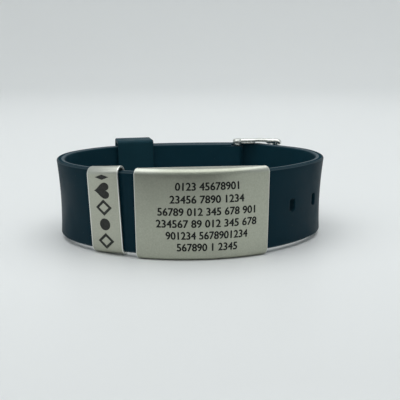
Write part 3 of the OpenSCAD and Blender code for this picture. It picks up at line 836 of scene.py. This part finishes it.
def frame_arm(low, end_drop, end_reach):
    """One of the frame's arms, bowed outwards from the boss to the cross bar, and deeper towards both."""
    half_span = (cross_p - bar_p).length / 2
    along = (bar_p - cross_p).normalized()
    mid_r = arm_bow_r - arm_w / 2
    bow_c = (cross_p + bar_p) / 2 - math.sqrt(mid_r ** 2 - half_span ** 2) * Vector((along.y, -along.x, 0))
    ends = [math.degrees(math.atan2((p - bow_c).x, -(p - bow_c).y)) % 360 for p in (cross_p, bar_p)]
    rings = []
    for i in range(-arm_end_steps if end_reach else 0, arm_steps + 1):
        share = i / arm_steps if i > 0 else end_reach * i / arm_end_steps / (2 * half_span)
        past_bar = arm_end_share * max(-i, 0) / arm_end_steps
        top = low + arm_t - arm_corner_r * (1 - math.sqrt(1 - past_bar ** 2))
        drop = end_drop * (1 - ease((share - arm_thin_from) / arm_thin_fade)
                           + ease((share - arm_thin_until) / arm_thin_fade))
        deep = top - low + drop
        section = rounded_loop((mid_r, low - drop + deep / 2), (arm_w, deep), arm_round * deep, 6)
        turn = ends[0] + (ends[1] - ends[0]) * share
        rings.append([bow_c + reach * outward(turn) + Vector((0, 0, z)) for reach, z in section])
    return skin(rings)


def smooth_path(points, steps):
    """Smooth curve through points."""
    ends = [2 * points[0] - points[1]] + points + [2 * points[-1] - points[-2]]
    path = []
    for a, b, c, d in zip(ends, ends[1:], ends[2:], ends[3:]):
        for i in range(steps):
            t = i / steps
            path.append(0.5 * (2 * b + (c - a) * t + (2 * a - 5 * b + 4 * c - d) * t ** 2
                               + (3 * b - a - 3 * c + d) * t ** 3))
    return path + [points[-1]]


def settled(bm):
    """Moves a piece of the buckle from the loop's plane into the row frame."""
    for v in bm.verts:
        v.co = MM * Vector((v.co.x, v.co.y + loop_y, v.co.z))
    return bm


bore_low = boss_h - tip_len - tip_clear
buckle_parts = [("UNION", turned(bar_p, round_ended(boss_r, z, z + boss_h, boss_rim_r)))
                for z in (0, frame_h - boss_h)]
buckle_parts += [("UNION", frame_arm(arm_inset, 0, 0)),
                 ("UNION", frame_arm(frame_h - arm_t - arm_inset, top_arm_drop, top_arm_reach)),
                 ("DIFFERENCE", turned(bar_p, [(tip_bore_r, bore_low), (tip_bore_r, frame_h - bore_low)]))]
cross_bar = turned(cross_p, round_ended(cross_bar_r, cross_bar_low, frame_h - cross_bar_top_gap,
                                        cross_bar_rim_r))
buckle_frame = carved(cross_bar, buckle_parts)
buckle_steel = steel_finish("buckle_steel", (0.72, 0.73, 0.69, 1), (0.64, 0.65, 0.61, 1), (0.24, 0.32),
                            5000.0, 0.000003, 0.04, 110.0)
dressed("buckle_frame_cast", settled(buckle_frame), [buckle_steel], ["buckle_frame"], 30)

blade_path = smooth_path([right_c + reach * outward(turn) for turn, reach in tongue_path], 6)
blade_section = rounded_loop((0, strap_mid_z), (tongue_t, tongue_w), tongue_round, 3)
blade_rings = []
for i, here in enumerate(blade_path):
    ahead = (blade_path[min(i + 1, len(blade_path) - 1)] - blade_path[max(i - 1, 0)]).normalized()
    left = Vector((-ahead.y, ahead.x, 0))
    blade_rings.append([here + across * left + Vector((0, 0, z)) for across, z in blade_section])
point = blade_path[-1]
for share in (0.5, 0.8, 0.95):
    shrink = math.sqrt(1 - share ** 2)
    blade_rings.append([point + ahead * share * tongue_t / 2 + shrink * across * left
                        + Vector((0, 0, strap_mid_z + (z - strap_mid_z) * (0.55 + 0.45 * shrink)))
                        for across, z in blade_section])
roll_section = rounded_loop(((eye_bore_r + boss_r) / 2, strap_mid_z), (boss_r - eye_bore_r, tongue_w),
                            roll_round, 3)
roll = skin([[bar_p + reach * outward(turn) + Vector((0, 0, z)) for reach, z in roll_section]
             for turn in range(0, 360, 10)], closed=True)
tongue = carved(skin(blade_rings), [("UNION", roll), ("DIFFERENCE", turned(
    bar_p, [(eye_bore_r, strap_mid_z - tongue_w), (eye_bore_r, strap_mid_z + tongue_w)]))])
dressed("buckle_tongue_bent", settled(tongue), [buckle_steel], ["buckle_tongue"], 30)

tips_low, shaft_low = boss_h - tip_len, boss_h + 0.05
spring_profile = [(tip_r - bar_chamfer, tips_low), (tip_r, tips_low + bar_chamfer), (tip_r, shaft_low),
                  (spring_bar_r - bar_chamfer, shaft_low), (spring_bar_r, shaft_low + bar_chamfer),
                  (spring_bar_r, shaft_low + 1.0), (spring_bar_r - bar_groove, shaft_low + 1.15),
                  (spring_bar_r - bar_groove, shaft_low + 1.35), (spring_bar_r, shaft_low + 1.5)]
spring_profile += [(radius, frame_h - z) for radius, z in reversed(spring_profile)]
dressed("spring_bar_turned", settled(turned(bar_p, spring_profile)), [buckle_steel], ["spring_bar"])

# Floor, light and camera
# A pale seamless floor that runs up to a wall all round, with painted shade darkening its front, one broad
# soft box overhead, small ones at the left and on the backdrop, two dark cards that show in reflections
# alone, and a camera at the photograph's angle and distance.
floor_r, sweep_r, wall_h, floor_steps = 0.6, 0.5, 1.3, 96
# The paper's front colour is darker: painted shade for light that falls off towards the front
paper_colour, paper_front_shade_colour = (0.805, 0.817, 0.817, 1), (0.73, 0.741, 0.741, 1)
shade_fade_from, shade_fade_to = -0.035, -0.09
sky_colour, sky_strength, lamp_colour = (0.95, 0.99, 1.0, 1), 0.71, (0.985, 1.0, 1.0)


def paper_finish(name, colour, front_shade_colour):
    """Matt seamless paper, with painted shade that darkens it towards its front edge."""
    material = bpy.data.materials.new(name)
    material.use_nodes = True
    tree = material.node_tree
    shader = tree.nodes["Principled BSDF"]
    shader.inputs["Roughness"].default_value = 0.45
    shader.inputs["Specular IOR Level"].default_value = 0.3
    spot = wire(tree, "ShaderNodeTexCoord").outputs["Object"]
    place = wire(tree, "ShaderNodeSeparateXYZ", {"Vector": spot})
    front = wire(tree, "ShaderNodeMapRange", {"Value": place.outputs["Y"], "From Min": shade_fade_from,
                                              "From Max": shade_fade_to})
    fibre = wire(tree, "ShaderNodeTexNoise", {"Vector": spot, "Scale": 900.0, "Detail": 2.0})
    tone = mixed(tree, front.outputs["Result"], colour, front_shade_colour)
    tone = mixed(tree, ranged(tree, fibre.outputs["Fac"], 0.0, 0.03), tone, (0.5, 0.5, 0.5, 1))
    tree.links.new(tone, shader.inputs["Base Color"])
    return material


profile = [(0.0001, 0), (0.15, 0), (floor_r, 0)]
profile += [(floor_r + sweep_r * math.sin(math.radians(a)), sweep_r * (1 - math.cos(math.radians(a))))
            for a in range(6, 91, 6)]
profile += [(floor_r + sweep_r, wall_h)]
floor_bm = bmesh.new()
rings = [[floor_bm.verts.new((r * math.cos(2 * math.pi * i / floor_steps),
                              r * math.sin(2 * math.pi * i / floor_steps), z))
          for i in range(floor_steps)] for r, z in profile]
for near, far in zip(rings, rings[1:]):
    for i in range(floor_steps):
        after = (i + 1) % floor_steps
        floor_bm.faces.new((near[i], far[i], far[after], near[after]))
floor_bm.faces.new(rings[0])
floor_mesh = bpy.data.meshes.new("floor")
floor_bm.to_mesh(floor_mesh)
floor_bm.free()
floor_mesh.shade_smooth()
floor_mesh.materials.append(paper_finish("floor_paper", paper_colour, paper_front_shade_colour))
floor = bpy.data.objects.new("floor", floor_mesh)
bpy.context.scene.collection.objects.link(floor)

world = bpy.data.worlds.new("studio")
world.use_nodes = True
world.node_tree.nodes["Background"].inputs["Color"].default_value = sky_colour
world.node_tree.nodes["Background"].inputs["Strength"].default_value = sky_strength
bpy.context.scene.world = world


def soft_light(name, place, aim, size, power):
    """A square soft box that points at a place."""
    lamp = bpy.data.lights.new(name, "AREA")
    lamp.shape, lamp.size, lamp.energy, lamp.color = "SQUARE", size, power, lamp_colour
    holder = bpy.data.objects.new(name, lamp)
    holder.location = place
    holder.rotation_euler = (Vector(aim) - Vector(place)).to_track_quat("-Z", "Y").to_euler()
    bpy.context.scene.collection.objects.link(holder)


soft_light("soft_box", (0.0, -0.02, 0.65), (0.0, 0.01, 0.01), 0.85, 2.6)
soft_light("side_box", (-0.45, -0.2, 0.45), (-0.02, -0.02, 0.01), 0.35, 0.35)
soft_light("wall_light", (0.15, 0.42, 0.5), (0.15, 0.5, 0), 0.4, 0.4)


def dark_card(name, place, aim, width, height):
    """A dark card that stands for the dim room before the table, and shows in the steel alone."""
    grid = skin([[(-width / 2, -height / 2, z), (width / 2, -height / 2, z),
                  (width / 2, height / 2, z), (-width / 2, height / 2, z)] for z in (-0.002, 0)])
    mesh = bpy.data.meshes.new(name)
    grid.to_mesh(mesh)
    grid.free()
    cloth = bpy.data.materials.new(name)
    cloth.use_nodes = True
    cloth.node_tree.nodes["Principled BSDF"].inputs["Base Color"].default_value = (0.05, 0.05, 0.05, 1)
    cloth.node_tree.nodes["Principled BSDF"].inputs["Roughness"].default_value = 1.0
    mesh.materials.append(cloth)
    card = bpy.data.objects.new(name, mesh)
    card.location = place
    card.rotation_euler = (Vector(aim) - Vector(place)).to_track_quat("Z", "Y").to_euler()
    card.visible_camera, card.visible_diffuse, card.visible_shadow = False, False, False
    bpy.context.scene.collection.objects.link(card)


dark_card("room_card", (-0.045, -0.155, 0.023), (-0.045, 0, 0.023), 0.21, 0.044)
dark_card("left_card", (-0.082, -0.112, 0.015), (-0.015, -0.027, 0.012), 0.08, 0.028)

camera_azimuth, camera_elevation, camera_distance = -6.5, 12.6, 0.19335
camera_aim = Vector((0.00224, 0, 0.00878))
focal_pixels, picture_pixels, sensor = 701.3, 400, 36.0
camera = bpy.data.cameras.new("camera")
camera.sensor_width, camera.lens = sensor, focal_pixels / picture_pixels * sensor
camera.clip_start, camera.clip_end = 0.01, 10
camera_holder = bpy.data.objects.new("camera", camera)
azimuth, elevation = math.radians(camera_azimuth), math.radians(camera_elevation)
back = Vector((math.sin(azimuth) * math.cos(elevation), -math.cos(azimuth) * math.cos(elevation),
               math.sin(elevation)))
camera_holder.location = camera_aim + camera_distance * back
camera_holder.rotation_euler = (-back).to_track_quat("-Z", "Y").to_euler()
bpy.context.scene.collection.objects.link(camera_holder)
bpy.context.scene.camera = camera_holder
bpy.context.scene.view_settings.view_transform = "Standard"
